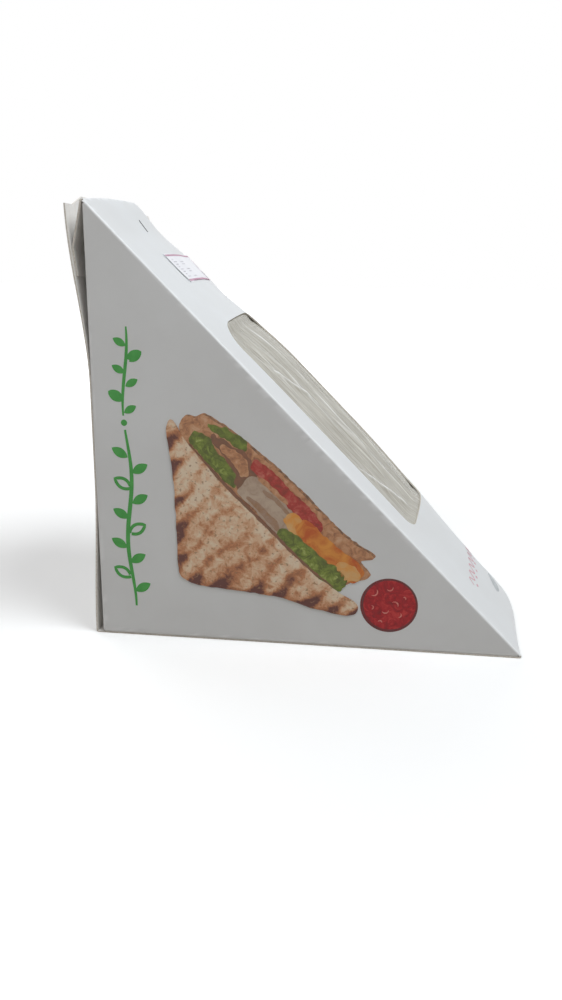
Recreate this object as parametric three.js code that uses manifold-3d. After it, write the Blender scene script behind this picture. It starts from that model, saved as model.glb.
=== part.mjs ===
// Folding carton for a triangular sandwich: one sheet of board with a film window and a price label.
// Lengths are in millimetres. The base panel lies flat, +X runs along it to the front tip,
// +Y runs across the width, away from the printed side, and +Z is up.

import * as THREE from "three";
import { mergeVertices } from "three/addons/utils/BufferGeometryUtils.js";
import Module from "manifold-3d";

const wasm = await Module();
wasm.setup();

// Driving dimensions of the carton
const leg = 124;
const width = 62;
const board = 0.45;
const foldRadius = 0.6;
const edgeRadius = 0.55;
const edgeCentreShare = 0.95;
const glueBite = 0.03;
const wrapInset = 0.05;
const looseInset = 0.25;

// Side panels: their corners are nicked where the folds of the wrap pass
const apexNick = 1.2;
const tipNick = 2;
const glueFlapDepth = 11;
const glueFlapSetback = 5;
const glueFlapTaper = 9;

// Front panel: a long opening with round corners and a short slit near the apex
const windowStart = 47;
const windowLength = 83.5;
const windowMargin = 11;
const windowCorner = 5;
const slitStart = 7.8;
const slitLength = 3.7;
const slitWidth = 0.45;

// The front panel swells outwards, most of all beyond the middle of its width
const archPeak = 5.7;
const archEnds = 1.2;
const archRiseStart = 25;
const archRiseEnd = 70;
const archFallStart = 105;
const archFallEnd = 195;
const archFoot = 4;
const archTurn = 25;

// Back panel: glued to the side flaps in its middle, standing off at the bottom and leaning out on top
const backHeight = 125.2;
const backLean = 4.7;
const backLeanStart = 74;
const backStandOff = 1.8;
const backStandOffEnd = 48;
const tabDrop = 2.5;
const tabInset = 6;
const tabSlope = 7.5;

// Top flap: folded over the apex and glued inside the back panel
const apexShift = 0.3;
const flapGlueTop = 111.5;
const flapGlueLength = 7.5;
const flapNarrowing = 1.5;
const flapGap = 0.05;

// Window film, glued behind the opening
const film = 0.12;
const filmOverlap = 6;
const filmGap = 0.3;

// Price label stuck on the front panel
const label = 0.1;
const labelGap = 0.1;
const labelStart = 20.3;
const labelLength = 11.5;
const labelNearEdge = 24.5;
const labelFarMargin = 6;

// Fineness of the faceted surfaces
const acrossSteps = 16;
const frontSteps = 26;
const filmSteps = 18;
const backSteps = 14;
const arcSteps = 4;
const booleanMargin = 2;

const smoothstep = THREE.MathUtils.smoothstep;
const slant = leg * Math.SQRT2;
const along = new THREE.Vector2(1, -1).normalize();
const outward = new THREE.Vector2(1, 1).normalize();

// How far the front panel swells at a distance u down from the apex, before the share across the width
function archHeight(u) {
  const rise = smoothstep(u, archRiseStart, archRiseEnd);
  const fall = 1 - smoothstep(u, archFallStart, archFallEnd);
  return archEnds + (archPeak - archEnds) * rise * fall;
}

// Share of the swelling across the width: none at the two side folds, full at two thirds of the way
function archShare(v) {
  const x = v / width;
  const toFarFold = width - v;
  return 6.75 * x * x * (1 - x) * (toFarFold / (toFarFold + archFoot));
}

// The front panel swells square to itself, but its bottom fold can only bow forwards, along the table
function archVector(u) {
  const turn = smoothstep(u, slant - archTurn, slant);
  return outward.clone().lerp(new THREE.Vector2(1, 0), turn).multiplyScalar(archHeight(u));
}

// Inner face of the back panel at a height z, measured along X
function backInner(z) {
  const top = backLean * smoothstep(z, backLeanStart, leg);
  const bottom = backStandOff * (1 - smoothstep(z, 0, backStandOffEnd));
  return glueBite - top - bottom;
}

// Points of a round fold of the given outer radius between two straight runs that meet at a corner
function roundFold(before, corner, after) {
  const inDirection = corner.clone().sub(before).normalize();
  const outDirection = after.clone().sub(corner).normalize();
  const turn = Math.acos(THREE.MathUtils.clamp(inDirection.dot(outDirection), -1, 1));
  const reach = foldRadius * Math.tan(turn / 2);
  const start = corner.clone().addScaledVector(inDirection, -reach);
  const normal = new THREE.Vector2(-inDirection.y, inDirection.x);
  const centre = start.clone().addScaledVector(normal, -foldRadius);
  const points = [];
  for (let k = 0; k <= arcSteps; k += 1) {
    const spoke = normal.clone().rotateAround(new THREE.Vector2(), (-turn * k) / arcSteps);
    points.push(centre.clone().addScaledVector(spoke, foldRadius));
  }
  return points;
}

// One cross line of the sheet: a point of its outer face in the XZ plane, how far the line swells
// there, and how much it is set in from the two sides
function station(point, swell = new THREE.Vector2(), inset = 0) {
  return { point, swell, inset };
}

// Closed solid of a sheet between two distances under the outer face that the stations describe.
// The sheet is swept through the stations and keeps its thickness square to the surface.
function sheetSolid(stations, fromDepth, toDepth, nearEdge = 0, farEdge = width) {
  const rows = stations.length;
  const columns = acrossSteps + 1;
  const outer = stations.map(({ point, swell, inset }) => {
    const row = [];
    for (let j = 0; j < columns; j += 1) {
      const y = THREE.MathUtils.lerp(nearEdge + inset, farEdge - inset, j / acrossSteps);
      const share = archShare(y);
      row.push(new THREE.Vector3(point.x + swell.x * share, y, point.y + swell.y * share));
    }
    return row;
  });
  // The cut edges at the two sides stay in upright planes, so the thickness there has no sideways part
  const normalAt = (i, j) => {
    const down = outer[Math.min(i + 1, rows - 1)][j].clone().sub(outer[Math.max(i - 1, 0)][j]);
    const side = outer[i][Math.min(j + 1, columns - 1)].clone().sub(outer[i][Math.max(j - 1, 0)]);
    const normal = down.cross(side);
    if (j === 0 || j === columns - 1) normal.y = 0;
    return normal.normalize();
  };
  const positions = [];
  for (const depth of [fromDepth, toDepth]) {
    for (let i = 0; i < rows; i += 1) {
      for (let j = 0; j < columns; j += 1) {
        const p = outer[i][j].clone().addScaledVector(normalAt(i, j), -depth);
        positions.push(p.x, p.y, p.z);
      }
    }
  }
  const index = [];
  const top = (i, j) => i * columns + j;
  const under = (i, j) => rows * columns + i * columns + j;
  const quad = (a, b, c, d) => index.push(a, b, c, a, c, d);
  for (let i = 0; i < rows - 1; i += 1) {
    for (let j = 0; j < columns - 1; j += 1) {
      quad(top(i, j), top(i + 1, j), top(i + 1, j + 1), top(i, j + 1));
      quad(under(i, j), under(i, j + 1), under(i + 1, j + 1), under(i + 1, j));
    }
    quad(top(i, 0), under(i, 0), under(i + 1, 0), top(i + 1, 0));
    const last = columns - 1;
    quad(top(i, last), top(i + 1, last), under(i + 1, last), under(i, last));
  }
  for (let j = 0; j < columns - 1; j += 1) {
    const last = rows - 1;
    quad(top(0, j), top(0, j + 1), under(0, j + 1), under(0, j));
    quad(top(last, j), under(last, j), under(last, j + 1), top(last, j + 1));
  }
  const geometry = new THREE.BufferGeometry();
  geometry.setAttribute("position", new THREE.Float32BufferAttribute(positions, 3));
  geometry.setIndex(index);
  return toSolid(geometry);
}

function toSolid(geometry) {
  const bare = geometry.clone();
  bare.deleteAttribute("normal");
  bare.deleteAttribute("uv");
  const merged = mergeVertices(bare);
  return new wasm.Manifold(
    new wasm.Mesh({
      numProp: 3,
      vertProperties: new Float32Array(merged.attributes.position.array),
      triVerts: new Uint32Array(merged.index.array),
    }),
  );
}

function toGeometry(solid) {
  const mesh = solid.getMesh();
  const geometry = new THREE.BufferGeometry();
  geometry.setAttribute("position", new THREE.Float32BufferAttribute(mesh.vertProperties, 3));
  geometry.setIndex(Array.from(mesh.triVerts));
  return geometry;
}

// Straight bar of an outline, with the outline's axes and the bar's direction given by a basis
function bar(shape, length, xAxis, yAxis, zAxis, origin) {
  const geometry = new THREE.ExtrudeGeometry(shape, { depth: length, bevelEnabled: false, curveSegments: 6 });
  const matrix = new THREE.Matrix4().makeBasis(xAxis, yAxis, zAxis).setPosition(origin);
  return toSolid(geometry.applyMatrix4(matrix));
}

function outline(points) {
  return new THREE.Shape(points.map(([x, y]) => new THREE.Vector2(x, y)));
}

const unitX = new THREE.Vector3(1, 0, 0);
const unitY = new THREE.Vector3(0, 1, 0);
const unitZ = new THREE.Vector3(0, 0, 1);

// What a square outside edge loses when it is rounded: the corner at 0, 0 outside a quarter circle.
// The circle's centre lies a little nearer the corner than its radius, so it meets both faces cleanly.
function edgeWaste() {
  const centre = edgeRadius * edgeCentreShare;
  const shape = new THREE.Shape();
  shape.moveTo(-booleanMargin, -booleanMargin);
  shape.lineTo(centre, -booleanMargin);
  shape.lineTo(centre, centre - edgeRadius);
  shape.absarc(centre, centre, edgeRadius, -Math.PI / 2, -Math.PI, true);
  shape.lineTo(-booleanMargin, centre);
  return shape;
}

// Corners and round folds of the wrap, which runs from the top flap over the apex, down the front,
// round the tip, back along the base and up the back
const apexCorner = new THREE.Vector2(-apexShift, leg + apexShift);
const tipCorner = new THREE.Vector2(leg, 0);
const rearCorner = new THREE.Vector2(backInner(0) - board, 0);
const flapStart = new THREE.Vector2(backInner(flapGlueTop) + flapGap, flapGlueTop);
const tipFold = roundFold(apexCorner, tipCorner, rearCorner);
const rearFold = roundFold(tipCorner, rearCorner, new THREE.Vector2(rearCorner.x, leg));
const apexFold = roundFold(flapStart, apexCorner, tipCorner);

function frontPoint(u) {
  return new THREE.Vector2(0, leg).addScaledVector(along, u);
}

function frontStations(from, to, steps) {
  const stations = [];
  for (let k = 0; k <= steps; k += 1) {
    const u = THREE.MathUtils.lerp(from, to, k / steps);
    stations.push(station(frontPoint(u), archVector(u)));
  }
  return stations;
}

function distanceDown(point) {
  return point.clone().sub(new THREE.Vector2(0, leg)).dot(along);
}

function topFlapStations() {
  const stations = [];
  const glueSteps = 3;
  for (let k = 0; k <= glueSteps; k += 1) {
    const z = flapGlueTop - flapGlueLength * (1 - k / glueSteps);
    stations.push(station(new THREE.Vector2(backInner(z) + flapGap, z), new THREE.Vector2(), flapNarrowing));
  }
  const runSteps = 4;
  for (let k = 1; k < runSteps; k += 1) {
    const t = k / runSteps;
    const point = flapStart.clone().lerp(apexFold[0], t);
    stations.push(station(point, archVector(0).multiplyScalar(t * t), flapNarrowing * (1 - t)));
  }
  return stations;
}

function backStations() {
  const stations = [];
  const start = rearFold[arcSteps].y;
  for (let k = 1; k <= backSteps; k += 1) {
    const z = THREE.MathUtils.lerp(start, backHeight, k / backSteps);
    stations.push(station(new THREE.Vector2(backInner(z) - board, z), new THREE.Vector2(), looseInset));
  }
  return stations;
}

// Top flap, apex fold, front panel, tip fold, base panel, rear fold and back panel in one strip
function wrapSolid() {
  const from = distanceDown(apexFold[arcSteps]);
  const to = distanceDown(tipFold[0]);
  const none = new THREE.Vector2();
  const stations = [
    ...topFlapStations(),
    ...apexFold.map((point) => station(point, archVector(0))),
    ...frontStations(from, to, frontSteps).slice(1, -1),
    ...tipFold.map((point) => station(point, archVector(slant))),
    station(new THREE.Vector2(leg / 2, 0), none, looseInset),
    ...rearFold.map((point) => station(point, none, looseInset)),
    ...backStations(),
  ];
  return sheetSolid(stations, 0, board, wrapInset, width - wrapInset);
}

// The back panel's upper edge is lower at its two ends, with a slope up to the middle
function tabWaste() {
  const low = backHeight - tabDrop;
  const high = backHeight + booleanMargin;
  const shape = outline([
    [-booleanMargin, low],
    [tabInset, low],
    [tabInset + tabSlope, backHeight],
    [tabInset + tabSlope, high],
    [-booleanMargin, high],
  ]);
  const reach = backLean + 2 * booleanMargin;
  const origin = new THREE.Vector3(-reach - board, 0, 0);
  const near = bar(shape, reach, unitY, unitZ, unitX, origin);
  return near.add(near.mirror([0, 1, 0]).translate([0, width, 0]));
}

// Opening of the window through the front panel, in the panel's own plane
function windowWaste() {
  const left = windowMargin;
  const right = width - windowMargin;
  const top = windowStart;
  const bottom = windowStart + windowLength;
  const r = windowCorner;
  const shape = new THREE.Shape();
  shape.moveTo(top + r, left);
  shape.lineTo(bottom - r, left);
  shape.absarc(bottom - r, left + r, r, -Math.PI / 2, 0, false);
  shape.lineTo(bottom, right - r);
  shape.absarc(bottom - r, right - r, r, 0, Math.PI / 2, false);
  shape.lineTo(top + r, right);
  shape.absarc(top + r, right - r, r, Math.PI / 2, Math.PI, false);
  shape.lineTo(top, left + r);
  shape.absarc(top + r, left + r, r, Math.PI, 1.5 * Math.PI, false);
  return throughFront(shape);
}

function slitWaste() {
  const low = (width - slitWidth) / 2;
  const high = (width + slitWidth) / 2;
  const end = slitStart + slitLength;
  return throughFront(outline([[slitStart, low], [end, low], [end, high], [slitStart, high]]));
}

function throughFront(shape) {
  const depth = archPeak + 2 * booleanMargin;
  const u = new THREE.Vector3(along.x, 0, along.y);
  const w = new THREE.Vector3(outward.x, 0, outward.y);
  const origin = new THREE.Vector3(0, 0, leg).addScaledVector(w, -booleanMargin);
  return bar(shape, depth, u, unitY, w, origin);
}

// The long fold between the front panel and the near side panel is a small round edge
function slantEdgeWaste() {
  const from = distanceDown(apexFold[arcSteps]) + foldRadius;
  const to = distanceDown(tipFold[0]) - foldRadius;
  const end = frontPoint(to);
  const upwards = new THREE.Vector3(-along.x, 0, -along.y);
  const inwards = new THREE.Vector3(-outward.x, 0, -outward.y);
  return bar(edgeWaste(), to - from, unitY, inwards, upwards, new THREE.Vector3(end.x, 0, end.y));
}

// Near side panel with its two glue flaps, which are folded inwards along the legs
function sidePanel() {
  const low = board - glueBite;
  const depthIn = (board / 2) * Math.SQRT2;
  const edge = leg - depthIn;
  const panel = outline([
    [0, low],
    [leg - tipNick, low],
    [leg - tipNick, edge - leg + tipNick],
    [apexNick - depthIn, leg - apexNick],
    [0, leg - apexNick],
  ]);
  const backwards = new THREE.Vector3(0, -1, 0);
  const plate = bar(panel, board, unitX, unitZ, backwards, new THREE.Vector3(0, board, 0));
  const flapFrom = glueFlapSetback;
  const flapTo = leg - 2 * glueFlapSetback;
  const flap = outline([
    [flapFrom, 0],
    [flapTo, 0],
    [flapTo - glueFlapTaper, glueFlapDepth],
    [flapFrom + glueFlapTaper, glueFlapDepth],
  ]);
  const baseFlap = bar(flap, board, unitX, unitY, unitZ, new THREE.Vector3(0, 0, low));
  const rearFlap = bar(flap, board, unitZ, unitY, unitX.clone().negate(), new THREE.Vector3(board, 0, 0));
  const waste = edgeWaste();
  const rearEdge = bar(waste, flapTo, unitX, unitY, unitZ, new THREE.Vector3(0, 0, 0));
  const baseEdge = bar(waste, flapTo, unitY, unitZ, unitX, new THREE.Vector3(0, 0, low));
  return plate.add(baseFlap).add(rearFlap).subtract(rearEdge).subtract(baseEdge);
}

function cartonSolid() {
  const near = sidePanel();
  const far = near.mirror([0, 1, 0]).translate([0, width, 0]);
  const nearEdge = slantEdgeWaste();
  const farEdge = nearEdge.mirror([0, 1, 0]).translate([0, width, 0]);
  const folded = wrapSolid().subtract(tabWaste()).add(near).add(far);
  return folded.subtract(nearEdge).subtract(farEdge).subtract(windowWaste()).subtract(slitWaste());
}

// Film behind the window: it follows the swelling of the panel that it is glued to
function filmSolid() {
  const from = windowStart - filmOverlap;
  const to = windowStart + windowLength + filmOverlap;
  const near = windowMargin - filmOverlap;
  const depth = board + filmGap;
  return sheetSolid(frontStations(from, to, filmSteps), depth, depth + film, near, width - near);
}

// Paper label above the window, across the panel, on its outer face
function labelSolid() {
  const stations = frontStations(labelStart, labelStart + labelLength, 4);
  return sheetSolid(stations, -labelGap - label, -labelGap, labelNearEdge, width - labelFarMargin);
}

const cartonMaterial = new THREE.MeshStandardMaterial({ color: 0xe9eaec, roughness: 0.55, metalness: 0 });
const filmMaterial = new THREE.MeshStandardMaterial({
  color: 0xd8d8cc,
  roughness: 0.15,
  metalness: 0,
  transparent: true,
  opacity: 0.4,
});
const labelMaterial = new THREE.MeshStandardMaterial({ color: 0xf4f1f6, roughness: 0.45, metalness: 0 });

function piece(name, solid, material) {
  const mesh = new THREE.Mesh(toGeometry(solid), material);
  mesh.name = name;
  return mesh;
}

const group = new THREE.Group();
group.add(piece("carton", cartonSolid(), cartonMaterial));
group.add(piece("window_film", filmSolid(), filmMaterial));
group.add(piece("price_label", labelSolid(), labelMaterial));

// The origin is the middle of the base of the whole pack's box
const extent = new THREE.Box3().setFromObject(group);
group.position.set(-(extent.min.x + extent.max.x) / 2, -width / 2, -extent.min.z);

export default group;
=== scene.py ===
import math

import bmesh
import bpy
import numpy as np
from mathutils import Matrix, Vector
from mathutils.geometry import delaunay_2d_cdt

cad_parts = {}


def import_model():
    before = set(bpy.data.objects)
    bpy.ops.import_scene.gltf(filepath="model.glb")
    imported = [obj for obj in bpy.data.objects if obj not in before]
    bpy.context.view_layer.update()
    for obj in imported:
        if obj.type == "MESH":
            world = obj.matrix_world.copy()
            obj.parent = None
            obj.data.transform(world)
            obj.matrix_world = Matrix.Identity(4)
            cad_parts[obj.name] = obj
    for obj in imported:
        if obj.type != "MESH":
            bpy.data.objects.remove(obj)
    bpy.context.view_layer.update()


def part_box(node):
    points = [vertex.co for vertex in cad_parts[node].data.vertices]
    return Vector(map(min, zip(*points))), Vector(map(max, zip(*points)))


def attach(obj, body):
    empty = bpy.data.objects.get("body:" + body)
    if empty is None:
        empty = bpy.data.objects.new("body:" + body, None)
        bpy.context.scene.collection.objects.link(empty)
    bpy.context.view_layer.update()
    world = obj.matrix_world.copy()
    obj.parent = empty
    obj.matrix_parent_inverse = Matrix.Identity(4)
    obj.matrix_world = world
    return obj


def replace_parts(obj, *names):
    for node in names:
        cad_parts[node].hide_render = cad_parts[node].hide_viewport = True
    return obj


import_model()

# Sizes in millimetres, from the carton's rear bottom corner on the printed side: x runs to the front tip,
# y across the width and z up. On the slanted front u runs down from the apex and v across, like y.
MM = 0.001
LEG = 124.0
WIDTH = 62.0
BOARD = 0.45
FOLD_R = 0.6
EDGE_R = 0.55

# How far the slanted folds stop short of the apex and the tip
APEX_NICK = 1.35
TIP_NICK = 2.1

# Glue flaps of the side panels, and the edges of the panels that wrap round them
FLAP_DEPTH = 11.0
FLAP_SHOULDER = 1.3
FLAP_SLOPE = 1.2
GLUE_BITE = 0.03
WRAP_INSET = 0.05
LOOSE_INSET = 0.25

# Window and slit in the front. The radii are of the lower far, upper far, upper near and lower near corner.
WINDOW_START = 47.8
WINDOW_LENGTH = 80.8
WINDOW_MARGIN = 11.0
WINDOW_CORNERS = (9.0, 9.0, 10.0, 5.0)
SLIT_START = 7.4
SLIT_LENGTH = 4.2
SLIT_WIDTH = 0.9

# Swell of the front: an arch, a crown at the apex and a dip at the far fold. The pairs are ranges of u.
ARCH_PEAK = 7.4
ARCH_APEX = 1.2
ARCH_TIP = 2.9
ARCH_RISE = (25.0, 70.0)
ARCH_FALL = (97.0, 174.0)
ARCH_FOOT = 4.0
ARCH_TURN = 25.0
ARCH_FILL = 6.75
CROWN = 1.5
CROWN_END = 14.0
DIP = 1.5
DIP_RANGE = (6.0, 27.0)
DIP_FROM = 38.0

# Slow unevenness of the loose side panels, which their folds hold flat
SIDE_RIPPLE = 0.16
RIPPLE_HOLD = 14.0
NEAR_SEED = 1.0
FAR_SEED = 2.3

# Back panel, which leans out at the top and stands off its flaps at the bottom, and its raised tab
BACK_HEIGHT = 125.2
BACK_LEAN = 4.7
BACK_LEAN_START = 74.0
BACK_STAND_OFF = 1.8
BACK_STAND_OFF_END = 48.0
TAB_DROP = 2.5
TAB_INSET = 6.0
TAB_SLOPE = 7.5

# Top flap, glued to the inside of the back panel
APEX_SHIFT = 0.3
FLAP_GLUE_TOP = 111.5
FLAP_GLUE_LENGTH = 7.5
FLAP_NARROWING = 1.5
FLAP_GAP = 0.05

# Film and label
FILM_OVERLAP = 6.0
LABEL_START = 20.3
LABEL_LENGTH = 11.5
LABEL_NEAR = 24.5
LABEL_FAR = 56.0

SLANT = LEG * math.sqrt(2)
ALONG = np.array([1.0, -1.0]) / math.sqrt(2)
OUTWARD = np.array([1.0, 1.0]) / math.sqrt(2)
FLAT_APEX = np.array([0.0, LEG])
REAR_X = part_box("carton")[0].x + (BACK_LEAN + BOARD - GLUE_BITE) * MM
ORIGIN = Vector((REAR_X, -WIDTH / 2 * MM, 0.0))


def to_row(x, y, z):
    """A point in millimetres from the rear bottom corner, as a point of the row frame in metres."""
    return Vector((x * MM, y * MM, z * MM)) + ORIGIN


def smoothstep(x, low, high):
    t = np.clip((x - low) / (high - low), 0.0, 1.0)
    return t * t * (3 - 2 * t)


# Form of the panels

def arch_height(u):
    ends = ARCH_APEX + (ARCH_TIP - ARCH_APEX) * u / SLANT
    rise = smoothstep(u, *ARCH_RISE)
    fall = 1 - smoothstep(u, *ARCH_FALL)
    return ends + (ARCH_PEAK - ends) * rise * fall


def arch_share(v):
    x = v / WIDTH
    far = WIDTH - v
    return ARCH_FILL * x * x * (1 - x) * (far / (far + ARCH_FOOT))


def arch_vector(u):
    turn = smoothstep(u, SLANT - ARCH_TURN, SLANT)
    return (OUTWARD * (1 - turn) + np.array([1.0, 0.0]) * turn) * arch_height(u)


def far_dip(u):
    """How far the far slanted fold is pressed in near the apex."""
    return DIP * (1 - smoothstep(u, *DIP_RANGE))


def swell(u, v):
    """How far the front stands off its flat plane: its arch, a crown at the apex and the far dip."""
    across = max(0.0, math.sin(math.pi * v / WIDTH))
    crown = CROWN * (1 - smoothstep(u, 0.0, CROWN_END)) * across * (2 - across)
    dip = far_dip(u) * smoothstep(v, DIP_FROM, WIDTH)
    return arch_vector(u) * arch_share(v) + OUTWARD * (crown - dip)


def front_point(u, v, depth=0.0):
    """A point of the front panel's outer face, or that far under it."""
    flat = FLAT_APEX + ALONG * u + swell(u, v) - OUTWARD * depth
    return flat[0], v, flat[1]


def back_inner(z):
    top = BACK_LEAN * smoothstep(z, BACK_LEAN_START, LEG)
    bottom = BACK_STAND_OFF * (1 - smoothstep(z, 0.0, BACK_STAND_OFF_END))
    return GLUE_BITE - top - bottom


def round_fold(before, corner, after, steps=8):
    """Points of a round fold between two straight runs that meet at a corner."""
    into = (corner - before) / np.linalg.norm(corner - before)
    out = (after - corner) / np.linalg.norm(after - corner)
    turn = math.acos(float(np.clip(into @ out, -1, 1)))
    start = corner - into * FOLD_R * math.tan(turn / 2)
    normal = np.array([-into[1], into[0]])
    centre = start - normal * FOLD_R
    points = []
    for k in range(steps + 1):
        a = -turn * k / steps
        ca, sa = math.cos(a), math.sin(a)
        spoke = np.array([normal[0] * ca - normal[1] * sa, normal[0] * sa + normal[1] * ca])
        points.append(centre + spoke * FOLD_R)
    return points


APEX = np.array([-APEX_SHIFT, LEG + APEX_SHIFT])
TIP = np.array([LEG, 0.0])
REAR = np.array([back_inner(0.0) - BOARD, 0.0])
FLAP_TOP = np.array([back_inner(FLAP_GLUE_TOP) + FLAP_GAP, FLAP_GLUE_TOP])
APEX_FOLD = round_fold(FLAP_TOP, APEX, TIP)
TIP_FOLD = round_fold(APEX, TIP, REAR)
REAR_FOLD = round_fold(TIP, REAR, np.array([REAR[0], LEG]))
FRONT_FROM = float((APEX_FOLD[-1] - FLAT_APEX) @ ALONG)
FRONT_TO = float((TIP_FOLD[0] - FLAT_APEX) @ ALONG)


def ripple(x, z, seed):
    """Slow unevenness of a loose panel, between about -1 and 1."""
    phase = seed * 1.7
    a = np.sin(x * 0.055 + phase) * np.cos(z * 0.043 - phase)
    b = np.sin(x * 0.11 - z * 0.07 + 2.1 * phase)
    return 0.65 * a + 0.35 * b


def side_offset(x, z, seed=NEAR_SEED):
    """How far a side panel stands proud of its flat plane, none at its three folds."""
    to_fold = np.minimum(np.minimum(x, z), (LEG - x - z) / math.sqrt(2))
    hold = smoothstep(to_fold, 0.0, RIPPLE_HOLD)
    return SIDE_RIPPLE * hold * ripple(x, z, seed)


# Mesh helpers

WELD = 2e-6
SLIVER = 1e-7
MOST_STRETCH = 1.45


def turn_faces_out(obj, front=None):
    """Turns the faces one way. The face nearest to the point front, if any, ends up facing forward and up."""
    bm = bmesh.new()
    bm.from_mesh(obj.data)
    bmesh.ops.recalc_face_normals(bm, faces=bm.faces)
    if front is not None:
        bm.faces.ensure_lookup_table()
        nearest = min(bm.faces, key=lambda f: (f.calc_center_median() - front).length)
        if nearest.normal.dot(Vector((1, 0, 1))) < 0:
            bmesh.ops.reverse_faces(bm, faces=bm.faces)
    bm.to_mesh(obj.data)
    bm.free()


class Sheet:
    """Collects the quads of an open sheet, with points in millimetres, and welds them."""

    def __init__(self):
        self.points = []
        self.quads = []
        self.folds = []

    def patch(self, rows, fold=False):
        """rows is a grid of points. Its outside is on the left of a walk along the first row."""
        base = len(self.points)
        width = len(rows[0])
        for row in rows:
            self.points.extend(row)
            self.folds.extend([1.0 if fold else 0.0] * width)
        for i in range(len(rows) - 1):
            for j in range(width - 1):
                a = base + i * width + j
                self.quads.append((a, a + width, a + width + 1, a + 1))

    def build(self, name):
        obj = new_piece(name, [to_row(*p) for p in self.points], self.quads)
        give_values(obj, "fold", self.folds)
        bm = bmesh.new()
        bm.from_mesh(obj.data)
        bmesh.ops.remove_doubles(bm, verts=bm.verts, dist=WELD)
        bmesh.ops.dissolve_degenerate(bm, dist=SLIVER, edges=bm.edges)
        bm.to_mesh(obj.data)
        bm.free()
        return obj


def apply_modifiers(obj):
    graph = bpy.context.evaluated_depsgraph_get()
    mesh = bpy.data.meshes.new_from_object(obj.evaluated_get(graph))
    old = obj.data
    obj.modifiers.clear()
    obj.data = mesh
    mesh.name = obj.name
    bpy.data.meshes.remove(old)


def smooth_by_angle(obj, degrees):
    """Smooth shading, with the edges sharper than an angle kept crisp."""
    mesh = obj.data
    mesh.shade_smooth()
    bm = bmesh.new()
    bm.from_mesh(mesh)
    limit = math.radians(degrees)
    for edge in bm.edges:
        edge.smooth = len(edge.link_faces) == 2 and edge.calc_face_angle(0.0) < limit
    bm.to_mesh(mesh)
    bm.free()


def thicken(obj, thickness, inner, rim):
    """Gives a sheet its thickness on the inside, with material offsets for its inner faces and its rim.
    No inner point moves in by more than MOST_STRETCH thicknesses, which keeps sharp corners from spiking."""
    outside = len(obj.data.vertices)
    solid = obj.modifiers.new("thickness", "SOLIDIFY")
    solid.thickness = thickness * MM
    solid.offset = -1.0
    solid.use_even_offset = True
    solid.thickness_clamp = 0.0
    solid.material_offset = inner
    solid.material_offset_rim = rim
    apply_modifiers(obj)
    points = np.array([v.co for v in obj.data.vertices])
    outer, inner_points = points[:outside], points[outside:2 * outside]
    move = inner_points - outer
    length = np.linalg.norm(move, axis=1)
    most = thickness * MM * MOST_STRETCH
    far = length > most
    inner_points[far] = outer[far] + move[far] * (most / length[far])[:, None]
    obj.data.vertices.foreach_set("co", points.ravel())


def new_object(name, data):
    obj = bpy.data.objects.new(name, data)
    bpy.context.scene.collection.objects.link(obj)
    return obj


def new_piece(name, vertices, faces):
    mesh = bpy.data.meshes.new(name)
    mesh.from_pydata(vertices, [], faces)
    return new_object(name, mesh)


def give_values(obj, name, values):
    """Gives each point of a piece a number, for its material."""
    layer = obj.data.attributes.new(name, "FLOAT", "POINT")
    layer.data.foreach_set("value", np.array(values, np.float32))


def cut(obj, outline, place, depths, material):
    """Cuts a prism of an outline of (a, b) points away, with a material for the cut faces. place gives the
    row point at a, b and a depth."""
    n = len(outline)
    vertices = [place(a, b, depth) for depth in depths for a, b in outline]
    faces = [tuple(range(n)), tuple(range(2 * n - 1, n - 1, -1))]
    faces += [(k, k + n, (k + 1) % n + n, (k + 1) % n) for k in range(n)]
    tool = new_piece("cutter", vertices, faces)
    turn_faces_out(tool)
    tool.data.materials.append(material)
    boolean = obj.modifiers.new("cut", "BOOLEAN")
    boolean.operation = "DIFFERENCE"
    boolean.solver = "EXACT"
    boolean.material_mode = "TRANSFER"
    boolean.object = tool
    apply_modifiers(obj)
    bpy.data.objects.remove(tool)


def rounded_rectangle(a0, a1, b0, b1, radii, steps=10):
    """radii are those of the corners at a1 b1, a0 b1, a0 b0 and a1 b0."""
    points = []
    corners = ((a1, b1, -1, -1), (a0, b1, 1, -1), (a0, b0, 1, 1), (a1, b0, -1, 1))
    for quarter, ((a, b, into_a, into_b), r) in enumerate(zip(corners, radii)):
        for k in range(steps + 1):
            t = (quarter + k / steps) * math.pi / 2
            points.append((a + into_a * r + r * math.cos(t), b + into_b * r + r * math.sin(t)))
    return points


# Materials

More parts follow.
